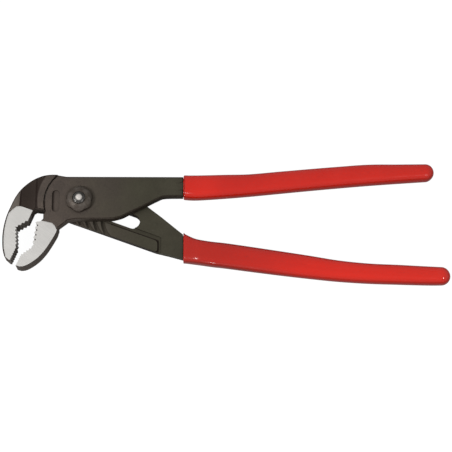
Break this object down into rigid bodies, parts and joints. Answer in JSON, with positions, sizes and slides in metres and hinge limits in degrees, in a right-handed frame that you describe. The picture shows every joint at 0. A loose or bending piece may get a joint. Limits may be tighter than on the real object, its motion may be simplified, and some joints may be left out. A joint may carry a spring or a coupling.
{
  "type": "water pump pliers",
  "caption": "Slotted groove-joint pliers with offset toothed jaws, an arc tongue that seats in arc grooves, a bolt with a nut as pivot, and two dipped grips.",
  "frame": {"origin": "on the pivot axis in the first seat, at the outer face of the bolt's head, which is the tool's back", "axes": "+X along the handles, away from the jaws; +Y towards the upper handle; +Z along the pivot axis, from the bolt's head to the nut"},
  "size_m": [0.2982, 0.0844, 0.0222],
  "materials": {
    "forged_steel": "black phosphated, satin",
    "dipped_vinyl": "gloss dipped coat",
    "bolt_steel": "bright, peened end"
  },
  "bodies": {
    "rear_lever": {"rear_lever_forging": "forged_steel", "rear_grip_sleeve": "dipped_vinyl"},
    "pivot": {"pivot_bolt": "bolt_steel", "pivot_nut": "forged_steel"},
    "front_lever": {"front_lever_forging": "forged_steel", "front_grip_sleeve": "dipped_vinyl"}
  },
  "joints": [
    {"name": "seat_shift", "type": "slide", "parent": "rear_lever", "child": "pivot", "axis": [0.9367, -0.3502, 0], "range_m": [0, 0.036]},
    {"name": "jaw_swing", "type": "hinge", "parent": "pivot", "child": "front_lever", "pos_m": [0, 0, 0.0103], "axis": [0, 0, 1], "range_deg": [-4.4, 50]}
  ]
}
